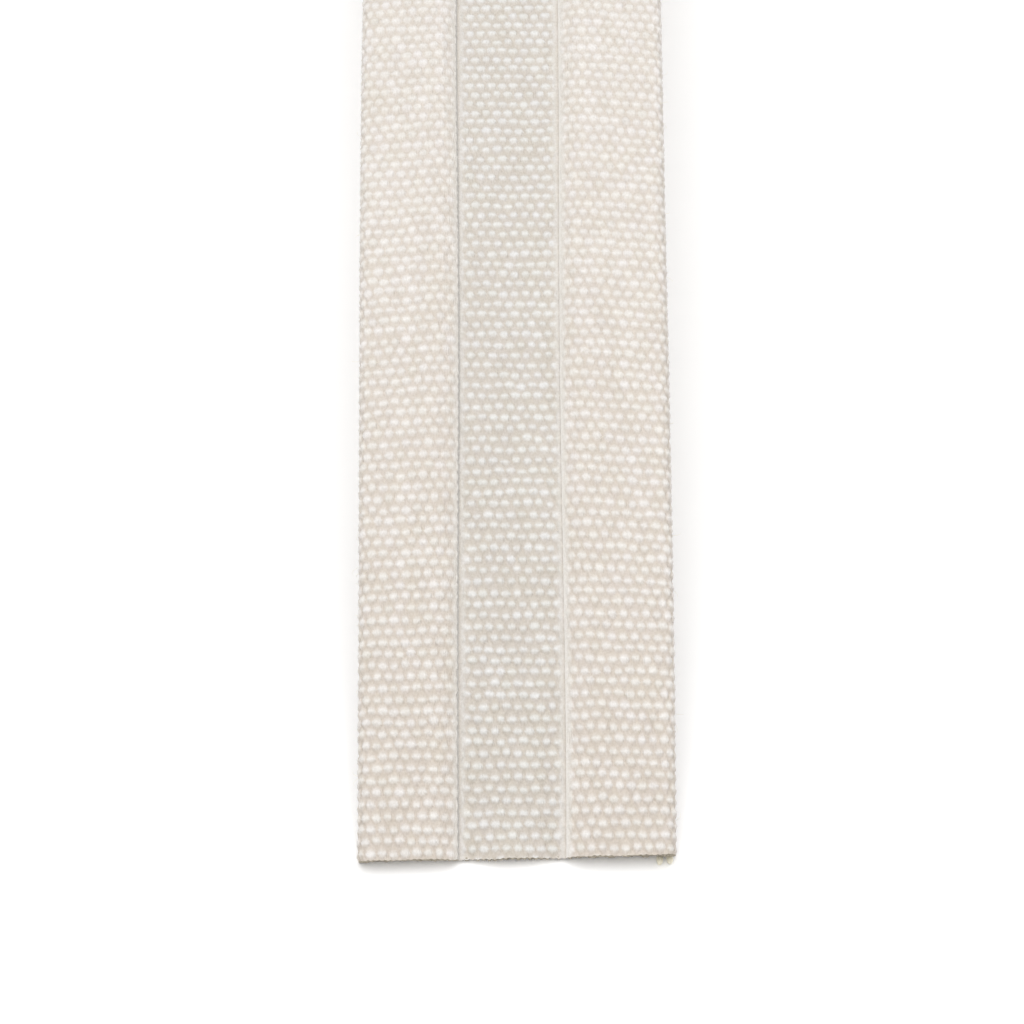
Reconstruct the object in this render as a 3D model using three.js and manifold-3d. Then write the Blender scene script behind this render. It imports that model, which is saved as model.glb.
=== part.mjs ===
// A cut length of woven binding tape, with both long edges folded over onto its face.
// It is one strip of cloth: a web across the full width, and a flap folded back over each side.
// It has kept a shallow curl from the roll, so it stands as a low arch on its two cut ends.
// Millimetres, +Z up. X runs across the tape and Y along it, with the near cut end at -Y.
import * as THREE from 'three';
import { mergeVertices } from 'three/addons/utils/BufferGeometryUtils.js';
import Module from 'manifold-3d';

// Across the tape
const WIDTH = 25; // from fold to fold
const CLOTH = 1.0; // thickness of the woven cloth
const LAYER_GAP = 0.3; // air between a flap and the web under it
const LEFT_FLAP = 7.9; // from the left fold to its selvedge
const RIGHT_FLAP = 8.6; // from the right fold to its selvedge
const FOLD_ROUND = 0.8; // corner radius of a pressed fold
const HEIGHT = 2 * CLOTH + LAYER_GAP; // web and flap together

// Along the arch
const CURL_RADIUS = 205; // bend of the underside
const HALF_ANGLE = THREE.MathUtils.degToRad(22.1); // slope of the tape at its ends
const STEPS = 50; // sections from end to end

// The cut ends
const UNDERCUT = Math.tan(THREE.MathUtils.degToRad(8)); // the cut leans in towards the underside
const CUT_SLANT = Math.tan(THREE.MathUtils.degToRad(1.2)); // and runs a little askew
const FOOT_TRIM = 0.45; // height of each lower edge that is pressed flat where it stands

// Unevenness of the folded cloth
const DRIFT = 0.2; // the tape wanders sideways by this, either way
const FLAP_SETTLE = 0.14; // a flap settles by this towards the web at its selvedge
const LIFT_WAVE = 0.04; // and rises and falls by this along the tape
const SELVEDGE_WAVE = 0.1; // the selvedges run in and out by this

const CREAM = 0xe6dfd4; // undyed cloth

// The closed outline of the folded cloth: x across the tape, y up from its underside.
function foldedSection() {
  const side = WIDTH / 2;
  const bend = side - FOLD_ROUND;
  const gapEnd = side - CLOTH - LAYER_GAP / 2;
  const selvedge = CLOTH / 2;
  const quarter = Math.PI / 2;
  const outline = new THREE.Shape();
  outline.moveTo(-bend, 0);
  outline.absarc(bend, FOLD_ROUND, FOLD_ROUND, -quarter, 0);
  outline.absarc(bend, HEIGHT - FOLD_ROUND, FOLD_ROUND, 0, quarter);
  outline.absarc(side - RIGHT_FLAP + selvedge, HEIGHT - selvedge, selvedge, quarter, 3 * quarter);
  outline.absarc(gapEnd, HEIGHT / 2, LAYER_GAP / 2, quarter, -quarter, true);
  outline.absarc(-gapEnd, HEIGHT / 2, LAYER_GAP / 2, -quarter, -3 * quarter, true);
  outline.absarc(-side + LEFT_FLAP - selvedge, HEIGHT - selvedge, selvedge, -quarter, quarter);
  outline.absarc(-bend, HEIGHT - FOLD_ROUND, FOLD_ROUND, quarter, 2 * quarter);
  outline.absarc(-bend, FOLD_ROUND, FOLD_ROUND, 2 * quarter, 3 * quarter);
  return outline;
}

// How far out on a flap a point of the section is: 0 at the fold and on the web, 1 at the selvedge.
function flapShare(x, up) {
  const flap = x < 0 ? LEFT_FLAP : RIGHT_FLAP;
  return up < HEIGHT / 2 ? 0 : THREE.MathUtils.clamp((WIDTH / 2 - Math.abs(x)) / flap, 0, 1);
}

// Takes a point of the flat folded tape onto the arch. t runs from -1 at the near end to 1.
function onArch(x, up, t) {
  const share = flapShare(x, up);
  const side = Math.sign(x);
  const lift = share * (LIFT_WAVE * Math.sin(5.3 * t + 1.1 * side) - FLAP_SETTLE);
  const across = x - DRIFT * Math.cos(Math.PI * t) + share * SELVEDGE_WAVE * Math.sin(7.1 * t + 2 * side);
  const cut = UNDERCUT * (up - HEIGHT / 2) + CUT_SLANT * x * t;
  const angle = t * (HALF_ANGLE + cut / CURL_RADIUS);
  const radius = CURL_RADIUS + up + lift;
  return new THREE.Vector3(across, radius * Math.sin(angle), radius * Math.cos(angle) - standingHeight());
}

// Height of the surface it stands on, above the centre of the curl.
function standingHeight() {
  const lowerEdge = HALF_ANGLE - (UNDERCUT * HEIGHT) / 2 / CURL_RADIUS;
  return CURL_RADIUS * Math.cos(lowerEdge) + FOOT_TRIM;
}

// The folded section, swept straight from the far end to the near one and bent onto the arch.
function archedTape() {
  const geometry = new THREE.ExtrudeGeometry(foldedSection(), {
    depth: 2,
    steps: STEPS,
    bevelEnabled: false,
    curveSegments: 3,
  });
  const points = geometry.attributes.position;
  for (let i = 0; i < points.count; i++) {
    const p = onArch(points.getX(i), points.getY(i), 1 - points.getZ(i));
    points.setXYZ(i, p.x, p.y, p.z);
  }
  return geometry;
}

// The block below the surface that the tape stands on.
function ground() {
  const depth = 5;
  const block = new THREE.BoxGeometry(2 * WIDTH, 2 * CURL_RADIUS, depth);
  return block.translate(0, 0, -depth / 2);
}

const wasm = await Module();
wasm.setup();

function toSolid(geometry) {
  geometry.deleteAttribute('normal');
  geometry.deleteAttribute('uv');
  const merged = mergeVertices(geometry, 1e-4);
  return new wasm.Manifold(
    new wasm.Mesh({
      numProp: 3,
      vertProperties: new Float32Array(merged.attributes.position.array),
      triVerts: new Uint32Array(merged.index.array),
    }),
  );
}

function toGeometry(solid) {
  const { vertProperties, triVerts } = solid.getMesh();
  const geometry = new THREE.BufferGeometry();
  geometry.setAttribute('position', new THREE.BufferAttribute(vertProperties, 3));
  geometry.setIndex(new THREE.BufferAttribute(triVerts, 1));
  geometry.computeVertexNormals();
  return geometry;
}

// The tape with its two lower edges pressed flat.
function makeTape() {
  const cloth = new THREE.MeshStandardMaterial({ color: CREAM, roughness: 0.9, metalness: 0 });
  const tape = new THREE.Mesh(toGeometry(toSolid(archedTape()).subtract(toSolid(ground()))), cloth);
  tape.name = 'tape';
  return tape;
}

const bindingTape = new THREE.Group();
bindingTape.add(makeTape());

export default bindingTape;
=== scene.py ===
import bpy
import numpy as np
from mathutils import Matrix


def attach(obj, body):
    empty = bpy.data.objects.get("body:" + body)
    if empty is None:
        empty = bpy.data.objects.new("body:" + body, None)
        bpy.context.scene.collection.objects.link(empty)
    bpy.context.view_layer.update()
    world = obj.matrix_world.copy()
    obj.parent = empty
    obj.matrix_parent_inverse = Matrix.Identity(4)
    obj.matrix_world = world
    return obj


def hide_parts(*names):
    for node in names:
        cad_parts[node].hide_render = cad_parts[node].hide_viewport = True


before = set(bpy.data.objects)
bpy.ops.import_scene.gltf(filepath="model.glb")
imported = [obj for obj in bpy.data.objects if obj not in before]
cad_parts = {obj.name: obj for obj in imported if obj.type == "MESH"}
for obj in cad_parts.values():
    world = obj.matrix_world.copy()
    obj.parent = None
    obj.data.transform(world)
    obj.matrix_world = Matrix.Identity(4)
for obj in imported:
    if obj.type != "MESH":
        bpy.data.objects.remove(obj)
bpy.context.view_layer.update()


# The folded cloth
# One strip of firm warp-faced plain weave in undyed cotton. Both long edges are folded over
# onto its face and pressed, and it keeps a shallow curl. Sizes are in millimetres.

MM = 0.001

WIDTH = 25.0  # from fold to fold
CLOTH = 1.0  # thickness
LAYER_GAP = 0.3  # between a flap and the web under it
LEFT_FLAP = 7.9
RIGHT_FLAP = 8.6
FOLD_ROUND = 0.8
HEIGHT = 2 * CLOTH + LAYER_GAP
SIDE = WIDTH / 2
BEND = SIDE - FOLD_ROUND  # where a fold starts, from the middle

CURL_RADIUS = 205.0
HALF_ANGLE = np.radians(22.1)
UNDERCUT = np.tan(np.radians(8))  # the cut leans in towards the underside
CUT_SLANT = np.tan(np.radians(1.2))  # and runs a little askew
FOOT_TRIM = 0.45  # height of each lower edge that is pressed flat
STAND = CURL_RADIUS * np.cos(HALF_ANGLE - UNDERCUT * HEIGHT / 2 / CURL_RADIUS) + FOOT_TRIM

DRIFT = 0.2  # the tape wanders sideways by this, either way
FLAP_SETTLE = 0.14  # a flap settles by this towards the web at its selvedge
LIFT_WAVE = 0.04  # and rises and falls by this along the tape
SELVEDGE_WAVE = 0.1  # the selvedges run in and out by this


def flap_wave(t, side):
    """How far a flap's selvedge rises and falls along the tape."""
    return LIFT_WAVE * np.sin(5.3 * t + 1.1 * side)


def on_arch(x, up, t, folded_over):
    """Bends points of the flat folded tape onto the arch. t is -1 at the near end, 1 at the far one."""
    side = np.sign(x)
    flap = np.where(x < 0, LEFT_FLAP, RIGHT_FLAP)
    share = np.where(folded_over, np.clip((SIDE - abs(x)) / flap, 0, 1), 0)
    lift = share * (flap_wave(t, side) - FLAP_SETTLE)
    across = x - DRIFT * np.cos(np.pi * t) + share * SELVEDGE_WAVE * np.sin(7.1 * t + 2 * side)
    cut = UNDERCUT * (up - HEIGHT / 2) + CUT_SLANT * x * t
    angle = t * (HALF_ANGLE + cut / CURL_RADIUS)
    radius = CURL_RADIUS + up + lift
    high = np.maximum(radius * np.cos(angle) - STAND, 0)
    return np.stack([across, radius * np.sin(angle), high], axis=-1)


def straight(x0, up0, x1, up1):
    """A straight run of the outline: its length, and what gives points and normals at shares of it."""
    length = np.hypot(x1 - x0, up1 - up0)
    normal = [(up1 - up0) / length, (x0 - x1) / length]
    return length, lambda s: (
        np.outer(1 - s, [x0, up0]) + np.outer(s, [x1, up1]),
        np.tile(normal, (len(s), 1)),
    )


def bend(x, up, radius, start, turn, fullness=1.0):
    """A round run, from the angle start through turn, in degrees. The inside of a fold turns back."""

    def at(s):
        angle = np.radians(start + turn * s)
        out = np.stack([np.cos(angle), np.sin(angle)], axis=1)
        full = np.sign(out) * abs(out) ** (1 / fullness)
        return [x, up] + radius * full, out * np.sign(turn)

    return radius * np.radians(abs(turn)), at


# The outline starts in the middle of the left selvedge, goes over the outer face of the cloth
# to the right selvedge, and comes back along the inner face.
ROUND = CLOTH / 2  # of a selvedge
RIM_FULLNESS = 1.2  # of its upper half: 1 is round, more is squarer
FOOT_FULLNESS = 4.0  # of its lower half, which is pressed onto the web
LEFT_ROUND = -SIDE + LEFT_FLAP - ROUND
RIGHT_ROUND = SIDE - RIGHT_FLAP + ROUND
GAP_END = SIDE - CLOTH - LAYER_GAP / 2
OUTLINE = [
    bend(LEFT_ROUND, HEIGHT - ROUND, ROUND, 0, 90, RIM_FULLNESS),
    straight(LEFT_ROUND, HEIGHT, -BEND, HEIGHT),
    bend(-BEND, HEIGHT - FOLD_ROUND, FOLD_ROUND, 90, 90),
    straight(-SIDE, HEIGHT - FOLD_ROUND, -SIDE, FOLD_ROUND),
    bend(-BEND, FOLD_ROUND, FOLD_ROUND, 180, 90),
    straight(-BEND, 0, BEND, 0),
    bend(BEND, FOLD_ROUND, FOLD_ROUND, 270, 90),
    straight(SIDE, FOLD_ROUND, SIDE, HEIGHT - FOLD_ROUND),
    bend(BEND, HEIGHT - FOLD_ROUND, FOLD_ROUND, 0, 90),
    straight(BEND, HEIGHT, RIGHT_ROUND, HEIGHT),
    bend(RIGHT_ROUND, HEIGHT - ROUND, ROUND, 90, 90, RIM_FULLNESS),
    bend(RIGHT_ROUND, HEIGHT - ROUND, ROUND, 180, 90, FOOT_FULLNESS),
    straight(RIGHT_ROUND, HEIGHT - CLOTH, GAP_END, HEIGHT - CLOTH),
    bend(GAP_END, HEIGHT / 2, LAYER_GAP / 2, 90, -180),
    straight(GAP_END, CLOTH, -GAP_END, CLOTH),
    bend(-GAP_END, HEIGHT / 2, LAYER_GAP / 2, -90, -180),
    straight(-GAP_END, HEIGHT - CLOTH, LEFT_ROUND, HEIGHT - CLOTH),
    bend(LEFT_ROUND, HEIGHT - ROUND, ROUND, -90, 90, FOOT_FULLNESS),
]

# The columns of the mesh stand round the outline. Each zone has its length, the warp ends it
# holds, its columns, and whether the weave is raised there. Inside the folds it isn't.
END_PITCH = 0.4503
FOLD_ENDS = 24  # warp ends on a flap and round its fold
CHANNEL_ENDS = 23  # warp ends of the web that show between the flaps, or nearly
FACE_COLUMNS = 4  # for each warp end
UNDER_COLUMNS = 2
outer_length = sum(length for length, _ in OUTLINE[1:10])
outer_ends = round(outer_length / END_PITCH)
under_ends = outer_ends - 2 * FOLD_ENDS
fold_zone = outer_length * FOLD_ENDS / outer_ends
channel = CHANNEL_ENDS * END_PITCH
open_left = (LEFT_FLAP - RIGHT_FLAP - channel) / 2
open_right = (LEFT_FLAP - RIGHT_FLAP + channel) / 2
rim_top = (ROUND * np.pi / 2, 1.5, 5, 1)
rim_foot = (ROUND * np.pi / 2, 1, 3, 0)
flap_face = (fold_zone, FOLD_ENDS, FACE_COLUMNS * FOLD_ENDS, 1)
underside = (outer_length - 2 * fold_zone, under_ends, UNDER_COLUMNS * under_ends, 1)
inside_fold = (LAYER_GAP / 2 * np.pi, 1, 4, 0)


def hidden_face(length):
    """A zone of the faces that lie on each other under a flap."""
    return length, 5, 5, 0


ZONES = [
    rim_top,
    flap_face,
    underside,
    flap_face,
    rim_top,
    rim_foot,
    hidden_face(GAP_END - RIGHT_ROUND),
    inside_fold,
    hidden_face(GAP_END - open_right),
    (channel, CHANNEL_ENDS, FACE_COLUMNS * CHANNEL_ENDS, 1),
    hidden_face(GAP_END + open_left),
    inside_fold,
    hidden_face(GAP_END + LEFT_ROUND),
    rim_foot,
]


def outline_columns():
    """Points and normals of the outline, warp end numbers and raised shares, column by column."""
    places, ends, raised = [], [], []
    place, end = 0, 0
    for length, count, columns, relief in ZONES:
        share = np.arange(columns) / columns
        places.append(place + share * length)
        ends.append(end + share * count)
        raised.append(np.full(columns, float(relief)))
        place, end = place + length, end + count
    places = np.concatenate(places)
    run_ends = np.cumsum([length for length, _ in OUTLINE])
    run_at = np.searchsorted(run_ends, places, side="right")
    points, normals = np.zeros((2, len(places), 2))
    for i, (length, at) in enumerate(OUTLINE):
        here = run_at == i
        points[here], normals[here] = at((places[here] - run_ends[i] + length) / length)
    return points, normals, np.concatenate(ends), np.concatenate(raised)


def unfolded(x, up):
    """How far a point of the cloth is from the middle of the strip when it is opened out flat."""
    round_fold = np.pi * (FOLD_ROUND - ROUND) + HEIGHT - 2 * FOLD_ROUND
    turn = np.arctan2(up - HEIGHT / 2, abs(x) - BEND) / np.pi + 0.5
    flat = np.where(up < HEIGHT / 2, abs(x), 2 * BEND + round_fold - abs(x))
    return np.sign(x) * np.where(abs(x) > BEND, BEND + round_fold * turn, flat)


def eased(share):
    """A share from 0 to 1 that starts and stops gently."""
    return share * share * (3 - 2 * share)


def smooth_noise(seed, a, b):
    """Noise from -1 to 1 that swings about once for each whole step of a and of b."""
    size = 512
    grid = np.random.default_rng(seed).uniform(-1, 1, (size, size))
    i, j = np.floor(a).astype(int), np.floor(b).astype(int)
    u, v = eased(a - i), eased(b - j)
    low = grid[i % size, j % size] * (1 - u) + grid[(i + 1) % size, j % size] * u
    high = grid[i % size, (j + 1) % size] * (1 - u) + grid[(i + 1) % size, (j + 1) % size] * u
    return low * (1 - v) + high * v


# The rows of the mesh run across the tape, a few to each pick. One column is a place in the
# section, and one row is a place along the tape.
PICKS = 164
PICK_PITCH = 2 * (CURL_RADIUS + HEIGHT) * HALF_ANGLE / PICKS
ROWS_PER_PICK = 6

points, normals, end, raised = outline_columns()
x, up = points.T
opened = unfolded(x, up)
on_flap = up > HEIGHT / 2
in_channel = (up < HEIGHT / 2) & (up > CLOTH / 2) & (abs(x) < GAP_END)
from_rim = abs(x) - SIDE + np.where(x < 0, LEFT_FLAP, RIGHT_FLAP)  # less than 0 between the flaps
rows = np.arange(PICKS * ROWS_PER_PICK + 1)[:, None] / ROWS_PER_PICK
from_cut = np.minimum(rows, PICKS - rows)  # in picks
row_t = 2 * rows / PICKS - 1
crown = 1 - abs(row_t)  # 1 at the top of the arch, 0 at both cuts


def near_rim(wide):
    """1 at a flap's selvedge, and 0 this far out on the flap and off the flaps."""
    return np.where(on_flap, np.clip(1 - from_rim / wide, 0, 1), 0)


# The last yarns at a selvedge are packed close, so it is a smooth pale rim. The web beside
# it and under it is pressed flat.
RIM_WIDE = 0.28
RIM_RELIEF = 0.55  # share of the weave's relief that a rim keeps
PRESSED_RELIEF = 0.15  # and that the pressed web keeps
CLEAR_AT_RIM = 0.07  # the rest comes back from this share beside the rim
CLEAR_WIDE = 0.75  # over this distance, mm
rim = near_rim(RIM_WIDE)
clear = np.clip(CLEAR_AT_RIM - from_rim / CLEAR_WIDE, 0, 1)
web_relief = PRESSED_RELIEF + (1 - PRESSED_RELIEF) * clear
raised = raised * np.where(in_channel, web_relief, 1 - (1 - RIM_RELIEF) * rim)

# The picks lie straight across the web, and askew on the flaps.
FIRST_PICK = 0.2  # share of a pick cut off at the near end
WEB_STRAIGHT = 4.5  # the picks lie straight this far out from the middle
FLAP_SHIFT = {-1: 0.16, 1: -0.33}  # how far a flap's picks lie nearer at its selvedge, mm
FLAP_SLANT = 0.12  # and how much more for each mm towards the fold, in the middle of the tape
SLANT_FROM = 5.1  # mm out from the middle, a little outside the selvedges
FLAP_SLIP = 0.62  # a flap's picks close up by this on their way to each end, mm
CUT_SHIFT = 0.2  # and by this more over the last stretch, mm
CUT_STRETCH = 5  # mm
PICK_WANDER = 0.05  # share of a pick


def flap_shift(side, x):
    """How much nearer than the web's a flap's picks lie, in mm."""
    slant = FLAP_SLANT * (1 - row_t**2) * (abs(x) + side * (LEFT_FLAP - RIGHT_FLAP) / 2 - SLANT_FROM)
    at_cut = np.clip(1 - crown * PICKS * PICK_PITCH / 2 / CUT_STRETCH, 0, 1)
    return FLAP_SHIFT[side] + slant - FLAP_SLIP * abs(row_t) - CUT_SHIFT * at_cut * np.sign(row_t)


def pick_shift():
    """How much nearer than on the channel's floor the picks lie, for each row and column, in mm."""
    shift = 0
    folded_over = on_flap | (abs(x) > BEND)
    for side in (-1, 1):
        share = np.clip((side * opened - WEB_STRAIGHT) / (SIDE - WEB_STRAIGHT), 0, 1)
        on_web = eased(share) * flap_shift(side, SIDE)
        on_side = np.where(folded_over, flap_shift(side, x), on_web)
        shift = shift + np.where(side * opened > 0, on_side, 0)
    return shift


slide = UNDERCUT * (up - HEIGHT / 2) * row_t + CUT_SLANT * x * row_t**2
pick = rows + FIRST_PICK + (slide + pick_shift()) / PICK_PITCH
each_pick, few_picks = smooth_noise(1, pick, 0 * pick), smooth_noise(2, pick / 3, opened / 5)
pick = pick + PICK_WANDER * each_pick + PICK_WANDER * few_picks

# The weave. Every warp end goes over one pick and under the next, and its neighbours do the
# opposite, so the floats lie like bricks. A float is a diamond: widest over the pick, with a
# ridge there, and narrow at both ends where it dives.
PROUD = 0.06  # how far the floats stand out from the even surface
CRIMP = 0.5  # how far a float falls from its ridge to its dive
CRIMP_ROUND = 1.1  # 1 is a sharp ridge, more is rounder
YARN_ROUND = 0.28  # how far it falls from its middle to its sides
SIDE_ROUND = 4.5
DEEPEST = 0.27  # the hollows are nearly level at this depth
FLOAT_WIDE = 1.02  # half width of a float at its ridge, in warp ends
FLOAT_TAPER = 0.5  # and how much of that it loses over one pick
RIDGE_WANDER = 0.1  # how far a ridge lies off the middle of its pick, in picks
WIDE_WANDER = 0.14  # share by which a float is wider or narrower than the next
SET_LOWER = 0.05  # how much lower than the highest float the lowest one lies
LEAN_MIDDLE = -0.08  # the floats lean towards the nearer cut
LEAN_CHANGE = 0.22
LEAN_MOST = 0.14
CHANNEL_PRESSED = 0.1  # share of the depth that is pressed out on the crown of the channel
FACE_PRESSED = 0.05  # and everywhere on the flaps and the underside
CROWN_PRESSED = 0.2  # and more of it there on the crown
FUZZ = 0.022  # roughness of the fibres


def weave(end, pick, lean):
    """Depth below the crests, and the yarn and float on top, for each column's end and point's pick."""
    best = np.full(pick.shape, -9.0)
    yarn = np.zeros(pick.shape, int)
    float_number = np.zeros(pick.shape, int)
    for step in (-1, 0, 1):
        j = np.floor(end).astype(int) + step
        number = np.floor((pick - j % 2) / 2).astype(int)
        key = j * 1.0 + 0 * pick, number * 1.0
        ridge = 2 * number + j % 2 + 1 + RIDGE_WANDER * smooth_noise(11, *key)
        reach = abs(pick - ridge) * (1 - lean * np.sign(pick - ridge))
        half = (FLOAT_WIDE - FLOAT_TAPER * reach) * (1 + WIDE_WANDER * smooth_noise(12, *key))
        aside = abs(end - j - 0.5) / half
        lower = SET_LOWER * (1 - smooth_noise(13, *key)) / 2
        high = -CRIMP * reach**CRIMP_ROUND - YARN_ROUND * aside**SIDE_ROUND - lower
        on_top = high > best
        best = np.where(on_top, high, best)
        yarn = np.where(on_top, j, yarn)
        float_number = np.where(on_top, number, float_number)
    return DEEPEST * np.tanh(-best / DEEPEST), yarn, float_number


lean = np.clip(LEAN_MIDDLE - LEAN_CHANGE * row_t, -LEAN_MOST, LEAN_MOST)
pressed = np.where(in_channel, CHANNEL_PRESSED * crown, FACE_PRESSED + CROWN_PRESSED * crown)
depth, yarn, float_number = weave(end, pick, lean)
depth = depth * (1 - pressed)
fuzz = np.random.default_rng(7).normal(0, FUZZ, depth.shape)
sunk = (depth - PROUD + fuzz) * raised

# What the colour of each point goes by. Yarns and floats are a little paler or warmer than their
# neighbours. The hollows between the floats get painted shade, and so does the web at the rims.
YARN_TONE = 0.4  # share of the tone that a whole yarn has, and not a single float
HOLLOW_FROM = 0.04  # depth in mm where the painted shade of a hollow starts
HOLLOW_OVER = 0.15  # and how much deeper its painted shade is darkest
PRESSED_PALER = 1.1  # how much the painted shade in the hollows fades where the cloth is pressed
WEB_SHADE = 1.1  # how dark the painted shade on the web is right beside a rim
number = yarn * 1.0, float_number * 1.0
yarn_tone, float_tone = smooth_noise(3, number[0], number[1] / 9), smooth_noise(4, *number)
tone = YARN_TONE * yarn_tone + (1 - YARN_TONE) * float_tone
tint = smooth_noise(8, *number)
hollow_shade = eased(np.clip((depth - HOLLOW_FROM) / HOLLOW_OVER, 0, 1))
hollow_shade = hollow_shade * raised * (1 - PRESSED_PALER * pressed)
# painted shade on the web beside the rims, where the flap's step shades it
hollow_shade = np.maximum(hollow_shade, np.where(in_channel, WEB_SHADE * (1 - clear), 0))

# The relief goes onto the outline. The yarns are set a little unevenly, sideways and lengthways.
YARN_WANDER = 0.05  # either way
aside = YARN_WANDER * smooth_noise(5, end / 1.5 + 0 * pick, pick / 1.5) * raised
along = YARN_WANDER * smooth_noise(6, end / 2 + 0 * pick, pick / 2) * raised
sx = x - normals[:, 0] * sunk - normals[:, 1] * aside
su = up - normals[:, 1] * sunk + normals[:, 0] * aside

# A flap is pressed thinner towards its selvedge, and a little into the web there.
RIM_THIN = 0.38  # share of the thickness that is lost
THIN_WIDE = 1.5  # over this distance from the selvedge
SEAT_WIDE = 3  # it comes down onto the web over this distance
SUNK_IN = 0.05  # and into it by this
seat = LAYER_GAP - FLAP_SETTLE + flap_wave(row_t, np.sign(x)) + SUNK_IN
thinner = near_rim(THIN_WIDE) ** 1.5
su = su - RIM_THIN * thinner * (su - HEIGHT + CLOTH) - seat * near_rim(SEAT_WIDE) ** 2

# Between the flaps the web stands a little off the surface at both cuts.
END_LIFT = 0.75
LIFT_LONG = 7.0  # from a cut to where the web is level again
LIFT_WIDE = 4.3  # from the middle of the channel to either side
between = np.clip(1 - abs(x - (open_left + open_right) / 2) / LIFT_WIDE, 0, 1)
lifted = np.where(up < HEIGHT / 2, eased(between), 0)
su = su + END_LIFT * lifted * np.clip(1 - from_cut * PICK_PITCH / LIFT_LONG, 0, 1) ** 2

# A selvedge slopes down to the web.
RIM_SLOPE = 0.45  # from its foot to its top
SLOPE_WIDE = 1.2  # over this distance from the selvedge
SLOPE_STILL = 0.85  # share of the thickness below the top that stays where it is
sx = sx + np.sign(x) * RIM_SLOPE * near_rim(SLOPE_WIDE) ** 2 * ((su - HEIGHT) / CLOTH + SLOPE_STILL)

# Each yarn is a little full at the cut, and they are not quite even.
CUT_UNEVEN = 0.05  # either way
CUT_FULL = 0.06  # how far the middle of a yarn stands out
uneven = CUT_UNEVEN * smooth_noise(9, end / 1.3 + 0 * pick, rows / PICKS * 3)
full = CUT_FULL * np.sin(np.pi * end) ** 2 * np.where(row_t < 0, -1, 1)
inside = np.clip(from_cut, 0, 1)
t = row_t + (along * inside + (uneven + full) * (1 - inside)) / (CURL_RADIUS * HALF_ANGLE)
place = on_arch(sx, su, t, on_flap)

down_rows = np.gradient(place, axis=0)
round_outline = np.roll(place, -1, axis=1) - np.roll(place, 1, axis=1)
face_out = np.cross(down_rows, round_outline)
face_out /= np.linalg.norm(face_out, axis=-1, keepdims=True)

# The foot of a selvedge is rounded into the web, so it isn't shaded as an underside.
FOOT_WIDE = 0.8
FOOT_ASIDE, FOOT_UP = 0.75, 0.66  # which way it faces
foot = on_flap & (from_rim < FOOT_WIDE) & (normals[:, 1] <= 0.1)
face_out[:, foot, 0] = -np.sign(x[foot]) * FOOT_ASIDE
face_out[:, foot, 1] = 0
face_out[:, foot, 2] = FOOT_UP


def end_cap():
    """Triangles that close the outline, from the outer face across to the inner face."""
    turn = int(np.argmax(opened))
    outer = list(range(0, turn + 1))
    inner = [0] + list(range(len(end) - 1, turn - 1, -1))
    triangles = []
    i, k = 0, 0
    while i < len(outer) - 1 or k < len(inner) - 1:
        next_outer = opened[outer[i + 1]] if i < len(outer) - 1 else np.inf
        next_inner = opened[inner[k + 1]] if k < len(inner) - 1 else np.inf
        if next_outer <= next_inner:
            corners = (outer[i], outer[i + 1], inner[k])
            i += 1
        else:
            corners = (outer[i], inner[k + 1], inner[k])
            k += 1
        if len(set(corners)) == 3:
            triangles.append(corners)
    return np.array(triangles)


cap = end_cap()
every_point = np.ones_like(depth)
point_values = {
    "tone": tone,
    "tint": tint,
    "hollow_shade": hollow_shade,
    "channel": in_channel * every_point,
    "rim": rim * every_point,
}
thread = np.stack([end * every_point, pick, 0 * pick], axis=-1)


def cloth_length(name, first, last):
    """The mesh of the cloth from one row to another, closed at both ends."""
    columns = len(end)
    count = last - first
    r, c = np.meshgrid(np.arange(count), np.arange(columns), indexing="ij")
    d = (c + 1) % columns
    corners = [r * columns + c, (r + 1) * columns + c, (r + 1) * columns + d, r * columns + d]
    quads = np.stack(corners, axis=-1).reshape(-1, 4)
    caps = np.concatenate([cap, cap[:, ::-1] + count * columns])
    own_rows = slice(first, last + 1)
    part = place[own_rows].reshape(-1, 3)
    mesh = bpy.data.meshes.new(name)
    mesh.from_pydata(part * MM, [], quads.tolist() + caps.tolist(), shade_flat=False)
    out = face_out[own_rows].reshape(-1, 3)
    a, b, e = (part[caps[:, i]] for i in range(3))
    cap_out = np.cross(b - a, e - a)
    cap_out /= np.maximum(np.linalg.norm(cap_out, axis=1, keepdims=True), 1e-9)
    loops = np.concatenate([out[quads.ravel()], np.repeat(cap_out, 3, axis=0)])
    mesh.normals_split_custom_set(loops)
    mesh.polygons.foreach_set("material_index", [0] * len(quads) + [1] * len(caps))
    for label, value in point_values.items():
        attribute = mesh.attributes.new(label, "FLOAT", "POINT")
        attribute.data.foreach_set("value", value[own_rows].ravel())
    attribute = mesh.attributes.new("thread", "FLOAT_VECTOR", "POINT")
    attribute.data.foreach_set("vector", thread[own_rows].ravel())
    piece = bpy.data.objects.new(name, mesh)
    bpy.context.collection.objects.link(piece)
    return piece


def linear(hex_colour):
    """The linear colour of an sRGB hex value."""
    parts = [int(hex_colour[i : i + 2], 16) / 255 for i in (1, 3, 5)]
    return [p / 12.92 if p <= 0.04045 else ((p + 0.055) / 1.055) ** 2.4 for p in parts] + [1]


def add(tree, kind, settings=None, links=None):
    """A shader node with its settings, linked to outputs, or to the first output of nodes."""
    node = tree.nodes.new("ShaderNode" + kind)
    for name, value in (settings or {}).items():
        if isinstance(name, str) and hasattr(node, name):
            setattr(node, name, value)
        else:
            node.inputs[name].default_value = value
    for name, source in (links or {}).items():
        output = source.outputs[0] if hasattr(source, "outputs") else source
        tree.links.new(output, node.inputs[name])
    return node
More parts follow.
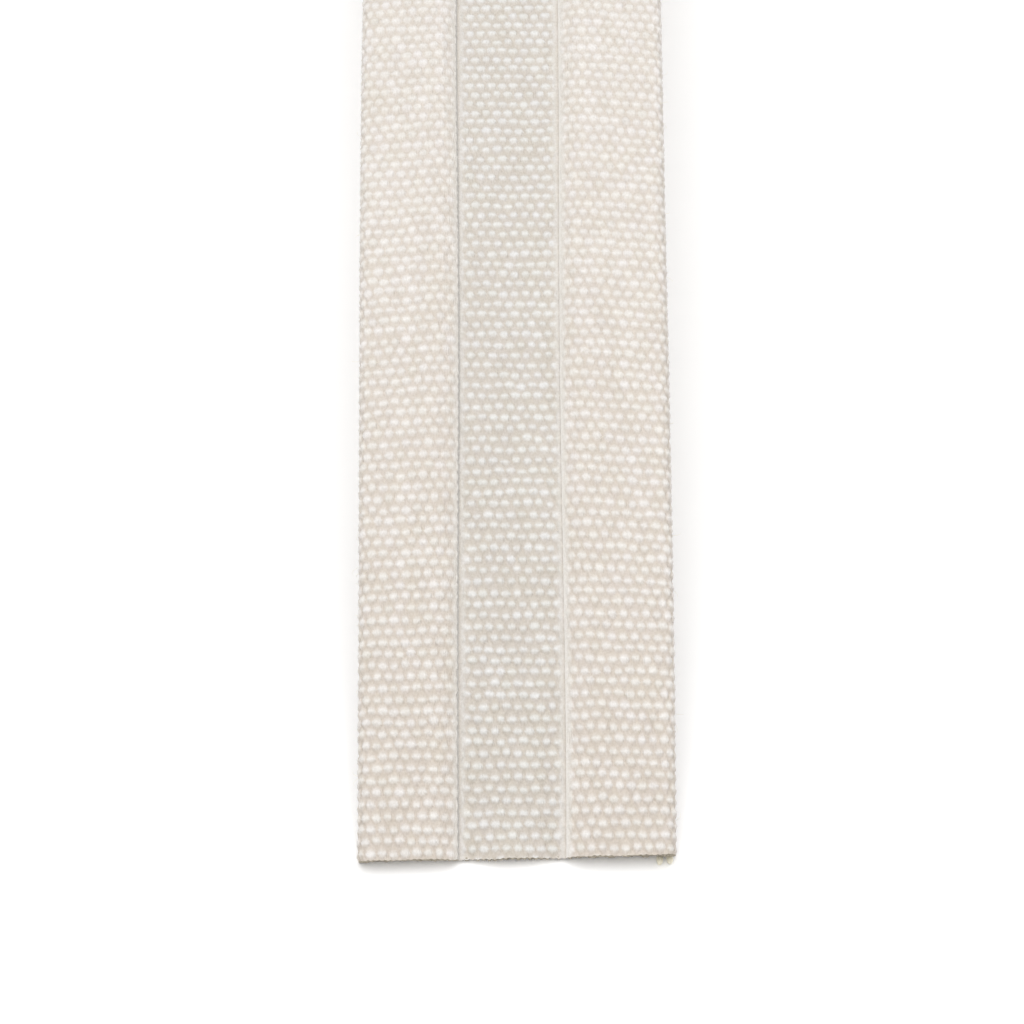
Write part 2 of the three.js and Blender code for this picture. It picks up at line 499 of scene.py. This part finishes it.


# Undyed cotton, warp-faced and pressed. The crests catch the light and look nearly white. Painted shade
# makes the cloth warmer and darker where the yarns dive under the picks, and on the web beside the rims.
cotton = bpy.data.materials.new("undyed_woven_cotton")
cotton.use_nodes = True
tree = cotton.node_tree
tree.nodes.clear()
thread_at, hollow_shade_at, tone_at, tint_at, channel_at, rim_at = (
    add(tree, "Attribute", {"attribute_name": label})
    for label in ("thread", "hollow_shade", "tone", "tint", "channel", "rim")
)
tint_share = add(tree, "MapRange", {"From Min": -1.0, "From Max": 1.0}, {"Value": tint_at})
tone_share = add(tree, "MapRange", {"From Min": -1.0, "From Max": 1.0}, {"Value": tone_at})
cream = add(tree, "MixRGB", {1: linear("#ECE9E5"), 2: linear("#EDEAE9")}, {0: tint_share})
for start_shade, end_shade, share in (
    ("#F5F4F2", "#FFFFFF", tone_share),
    # painted shade in the hollows and on the web beside the rims
    ("#FFFFFF", "#E3DBD2", hollow_shade_at),
    ("#FFFFFF", "#FAFDFF", channel_at),
):
    shade = add(tree, "MixRGB", {1: linear(start_shade), 2: linear(end_shade)}, {0: share})
    cream = add(tree, "MixRGB", {"blend_type": "MULTIPLY", 0: 1.0}, {1: cream, 2: shade})
rim_share = add(tree, "Math", {"operation": "MULTIPLY", 1: 0.5}, {0: rim_at})
cream = add(tree, "MixRGB", {2: linear("#EBE8E2")}, {0: rim_share, 1: cream})

# Specks of brighter and duller fibre.
SPECK_WIDE = 0.1732  # mm, across the yarns
SPECK_LONG = 0.2167
speck_scale = (END_PITCH / SPECK_WIDE, PICK_PITCH / SPECK_LONG, 1)
speck_at = add(tree, "VectorMath", {"operation": "MULTIPLY", 1: speck_scale}, {0: thread_at})
specks = add(tree, "TexNoise", {"Scale": 1.0, "Detail": 2.0, "Roughness": 0.7}, {"Vector": speck_at})
speck_share = add(tree, "MapRange", {"From Min": 0.3, "From Max": 0.7}, {"Value": specks})
shade = add(tree, "MixRGB", {1: linear("#F0EEEA"), 2: linear("#FFFFFF")}, {0: speck_share})
cream = add(tree, "MixRGB", {"blend_type": "MULTIPLY", 0: 1.0}, {1: cream, 2: shade})

# The fibres run along the yarns. Real ones are finer, and these are bundles of them.
FIBRE_WIDE = 0.1001  # mm
FIBRE_LONG = 0.5417
fibre_scale = (END_PITCH / FIBRE_WIDE, PICK_PITCH / FIBRE_LONG, 1)
fibre_at = add(tree, "VectorMath", {"operation": "MULTIPLY", 1: fibre_scale}, {0: thread_at})
fibres = add(tree, "TexNoise", {"Scale": 1.0, "Detail": 3.0, "Roughness": 0.6}, {"Vector": fibre_at})
fibre_bump = add(tree, "Bump", {"Strength": 1.0, "Distance": 0.1 * MM}, {"Height": fibres})
surface = add(
    tree,
    "BsdfPrincipled",
    {"Roughness": 0.6, "IOR": 1.5, "Sheen Weight": 0.1, "Sheen Roughness": 0.4},
    {"Base Color": cream, "Normal": fibre_bump},
)
add(tree, "OutputMaterial", {}, {0: surface})

# The same cotton where it is cut. It is darker than the cloth, partly because the cut swallows light
# between the fibres and partly as painted shade on the cut faces, with a spot for each yarn.
cut_cotton = bpy.data.materials.new("cut_cotton_yarn")
cut_cotton.use_nodes = True
tree = cut_cotton.node_tree
tree.nodes.clear()
point_at = add(tree, "NewGeometry")
spots = add(tree, "TexVoronoi", {"Scale": 1 / (END_PITCH * MM)}, {"Vector": point_at})
spot_colour_and_shade = add(tree, "MixRGB", {1: linear("#C4BBAB"), 2: linear("#8F8676")}, {0: spots})
spot_bump = add(tree, "Bump", {"Strength": 1.0, "Distance": 0.2 * MM, "invert": True}, {"Height": spots})
surface = add(
    tree,
    "BsdfPrincipled",
    {"Roughness": 0.95},
    {"Base Color": spot_colour_and_shade, "Normal": spot_bump},
)
add(tree, "OutputMaterial", {}, {0: surface})

# One mesh would be too large, so the strip is in lengths that meet edge to edge.
LENGTHS = 5
starts = [round(i * PICKS / LENGTHS) * ROWS_PER_PICK for i in range(LENGTHS + 1)]
for i in range(LENGTHS):
    piece = cloth_length(f"cloth_length_{i + 1}", starts[i], starts[i + 1])
    piece.data.materials.append(cotton)
    piece.data.materials.append(cut_cotton)
    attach(piece, "root")
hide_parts("tape")


# The cut yarns
# The cut goes through every warp end. Its fibres spread a little there, so each end is a blunt
# dome that stands just proud of the cut. One yarn is near the face, and the next near the back.

TIP_RADIUS = 0.18
TIP_PROUD = 0.07  # how far it stands out of the cut
TIP_ROOT = 0.1  # how far it reaches into the cloth
TIP_SIDES = 8
TIP_AT = (0.68, 0.37)  # share of the thickness from the outer face, by turns
SELVEDGE_YARNS = 2  # without a tip of their own, at each side


def solid_piece(name, parts, material):
    """One mesh from many closed parts, each a list of points in millimetres and a list of faces."""
    corners, faces = [], []
    for part_points, part_faces in parts:
        faces += [[corner + len(corners) for corner in face] for face in part_faces]
        corners += [tuple(point * MM) for point in part_points]
    mesh = bpy.data.meshes.new(name)
    mesh.from_pydata(corners, [], faces, shade_flat=False)
    mesh.materials.append(material)
    piece = bpy.data.objects.new(name, mesh)
    bpy.context.collection.objects.link(piece)
    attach(piece, "root")
    return piece


def tube(path, radii, sides, around):
    """A closed round body along a path of points. around is any direction that isn't along it."""
    path = np.array(path)
    along = np.gradient(path, axis=0)
    along /= np.linalg.norm(along, axis=1, keepdims=True)
    first = np.cross(along, around)
    first /= np.linalg.norm(first, axis=1, keepdims=True)
    second = np.cross(along, first)
    turn = (np.arange(sides) * 2 * np.pi / sides)[None, :, None]
    circle = np.cos(turn) * first[:, None] + np.sin(turn) * second[:, None]
    rings = path[:, None] + np.array(radii)[:, None, None] * circle
    faces = [list(range(sides))[::-1], [(len(path) - 1) * sides + k for k in range(sides)]]
    for ring in range(len(path) - 1):
        for k in range(sides):
            low, next_low = ring * sides + k, ring * sides + (k + 1) % sides
            faces.append([low, next_low, next_low + sides, low + sides])
    return rings.reshape(-1, 3), faces


turn_back = int(np.argmax(opened))
inner_columns = np.arange(turn_back, len(end))
tip_random = np.random.default_rng(21)
for name, row, inward in (("cut_yarns_near", 0, 3), ("cut_yarns_far", -1, -4)):
    tips = []
    for number in range(SELVEDGE_YARNS, round(end[turn_back]) - SELVEDGE_YARNS):
        outer = int(np.argmin(abs(end[:turn_back] - number - 0.5)))
        inner = inner_columns[np.argmin(abs(opened[inner_columns] - opened[outer]))]
        share = TIP_AT[number % 2]
        middle = place[row, outer] * (1 - share) + place[row, inner] * share
        outward = place[row, outer] - place[inward, outer]
        outward /= np.linalg.norm(outward)
        face_way = place[row, outer] - place[row, inner]
        size = TIP_RADIUS * tip_random.uniform(0.85, 1.0)
        proud = TIP_PROUD * tip_random.uniform(0.5, 1.3)
        middle[2] = max(middle[2], size)
        path = [middle + outward * step for step in (-TIP_ROOT, 0, 0.6 * proud, proud)]
        tips.append(tube(path, [size, size, size * 0.8, size * 0.35], TIP_SIDES, face_way))
    solid_piece(name, tips, cut_cotton)


# The frayed ends
# Two warp ends of the same cotton have worked loose at the near right corner. They come out
# of the cut and lie on the surface.

LOOSE_ENDS = ((11.2, 0.88, -0.05), (11.94, 0.8, 0.04))  # across the tape, length, turn aside
LOOSE_UP = 0.62  # where they leave the cut
LOOSE_ROOT = 0.35  # how far they reach into the cloth
LOOSE_RADIUS = 0.25
LOOSE_REST = 0.27  # height of their middle where they lie
STRAND_WIDE = 0.1428  # of one strand of the yarn

# Loose yarn, twisted from a few strands. It is matt and yellower than the pressed cloth.
frayed = bpy.data.materials.new("frayed_cotton_yarn")
frayed.use_nodes = True
tree = frayed.node_tree
tree.nodes.clear()
yarn_at = add(tree, "TexCoord")
strand_scale = np.pi / 10 / (STRAND_WIDE * MM)  # the texture's own wave is pi / 10 long
strands = add(
    tree,
    "TexWave",
    {"Scale": strand_scale, "Distortion": 3.0},
    {0: yarn_at.outputs["Object"]},
)
strand_bump = add(tree, "Bump", {"Distance": 0.03 * MM}, {"Height": strands})
surface = add(
    tree,
    "BsdfPrincipled",
    {"Base Color": linear("#F0EAD6"), "Roughness": 0.8},
    {"Normal": strand_bump},
)
add(tree, "OutputMaterial", {}, {0: surface})

loose_ends = []
for across_at, reach_out, turn_aside in LOOSE_ENDS:
    start = on_arch(across_at, LOOSE_UP, -1.0, False) + [0, LOOSE_ROOT, 0]
    steps = np.array([0, 0.3, 0.5, 0.7, 0.84, 0.94, 1.0])
    radii = LOOSE_RADIUS * np.array([0.9, 0.95, 1.0, 1.0, 0.85, 0.6, 0.3])
    sideways = turn_aside * steps
    forward = -(reach_out + LOOSE_ROOT) * steps
    down = (LOOSE_REST - start[2]) * steps**0.8
    path = start + np.stack([sideways, forward, down], axis=1)
    loose_ends.append(tube(path, radii, 10, [0.1, 0, 1]))
solid_piece("frayed_ends", loose_ends, frayed)


# The stray fibres
# Short cotton fibres that have come out of the yarns. They stand off the folds and lie on
# the face.

FIBRES = 260
FOLD_FIBRES = 110  # of them at the folds
FIBRE_RADIUS = 0.011
STRAY_LONG = (0.3, 0.8)
FOLD_RISE = (0.3, 0.9)  # share of its length that a fibre stands up
FACE_RISE = (0.08, 0.25)
ROOT_ROWS = 8  # of the mesh at each cut that have no fibres
ROOT_DEEP = 0.03  # share of its length that is in the cloth
LOWEST = 0.02  # above the surface

fibre_random = np.random.default_rng(31)
stray = []
for number in range(FIBRES):
    at_fold = number < FOLD_FIBRES
    row = fibre_random.integers(ROOT_ROWS, len(place) - ROOT_ROWS)
    side = fibre_random.choice([-1, 1])
    if at_fold:
        roots = np.nonzero((side * x > BEND + 0.3) & (end < end[turn_back]))[0]
    else:
        roots = np.nonzero((normals[:, 1] > 0.9) & (raised > 0.9))[0]
    column = fibre_random.choice(roots)
    out_way = face_out[row, column]
    any_way = fibre_random.normal(0, 1, 3)
    lie = any_way - out_way * (any_way @ out_way)
    lie /= np.linalg.norm(lie)
    length = fibre_random.uniform(*STRAY_LONG)
    rise = fibre_random.uniform(*(FOLD_RISE if at_fold else FACE_RISE))
    steps = np.linspace(0, 1, 5)[:, None]
    arched = out_way * rise * np.sin(2.2 * steps) - out_way * ROOT_DEEP
    path = place[row, column] + length * (lie * steps + arched)
    path[:, 2] = np.maximum(path[:, 2], LOWEST)
    radii = FIBRE_RADIUS * np.array([1, 1, 0.91, 0.73, 0.36])
    stray.append(tube(path, radii, 3, any_way))
solid_piece("stray_fibres", stray, frayed)


# The surface and the light
# Matt white card, far wider than the picture, and one wide soft light overhead that leans
# towards the camera.

FLOOR_REACH = 3  # metres from the middle
LIGHT_HIGH = 1.0  # metres
LIGHT_WIDE = 1.7

white = bpy.data.materials.new("white_card")
white.use_nodes = True
card = white.node_tree.nodes["Principled BSDF"]
card.inputs["Base Color"].default_value = linear("#F9F9F9")
card.inputs["Roughness"].default_value = 0.9
card.inputs["Emission Color"].default_value = linear("#FFFFFF")
card.inputs["Emission Strength"].default_value = 0.06
floor_corners = [(FLOOR_REACH * i, FLOOR_REACH * j, 0) for i, j in ((-1, -1), (1, -1), (1, 1), (-1, 1))]
floor_mesh = bpy.data.meshes.new("floor")
floor_mesh.from_pydata(floor_corners, [], [(0, 1, 2, 3)])
floor_mesh.materials.append(white)
floor = bpy.data.objects.new("floor", floor_mesh)
bpy.context.collection.objects.link(floor)

world = bpy.data.worlds.new("studio")
bpy.context.scene.world = world
world.use_nodes = True
world.node_tree.nodes["Background"].inputs["Color"].default_value = linear("#FFFFFF")
world.node_tree.nodes["Background"].inputs["Strength"].default_value = 0.55

softbox = bpy.data.lights.new("softbox", "AREA")
softbox.shape = "SQUARE"
softbox.size = LIGHT_WIDE
softbox.energy = 14.5
softbox_object = bpy.data.objects.new("softbox", softbox)
bpy.context.collection.objects.link(softbox_object)
lean_front, lean_left = np.radians([11, 3])
softbox_object.location = (-np.tan(lean_left), -np.tan(lean_front), LIGHT_HIGH)
softbox_object.rotation_euler = (-lean_front, -lean_left, 0)
bpy.context.scene.view_settings.view_transform = "Standard"


# The camera
# It looks along the tape from above its near end, through a long lens, so the edges hardly
# close up towards the top of the picture.

PICTURE = 1024  # pixels each way
FOCAL_PIXELS = 6500
SENSOR = 36  # mm
CAMERA_SLOPE = np.radians(50.8)  # how steeply it looks down
AIM = np.array([-0.183, -49.1, 8.5])  # mm, what lies in the middle of the picture
AIM_DISTANCE = 520  # mm

lens = bpy.data.cameras.new("camera")
lens.sensor_width = SENSOR
lens.lens = FOCAL_PIXELS * SENSOR / PICTURE
lens.clip_start = 0.01
camera = bpy.data.objects.new("camera", lens)
bpy.context.collection.objects.link(camera)
back = np.array([0, -np.cos(CAMERA_SLOPE), np.sin(CAMERA_SLOPE)])
camera.location = (AIM + back * AIM_DISTANCE) * MM
camera.rotation_euler = (np.pi / 2 - CAMERA_SLOPE, 0, 0)
bpy.context.scene.camera = camera
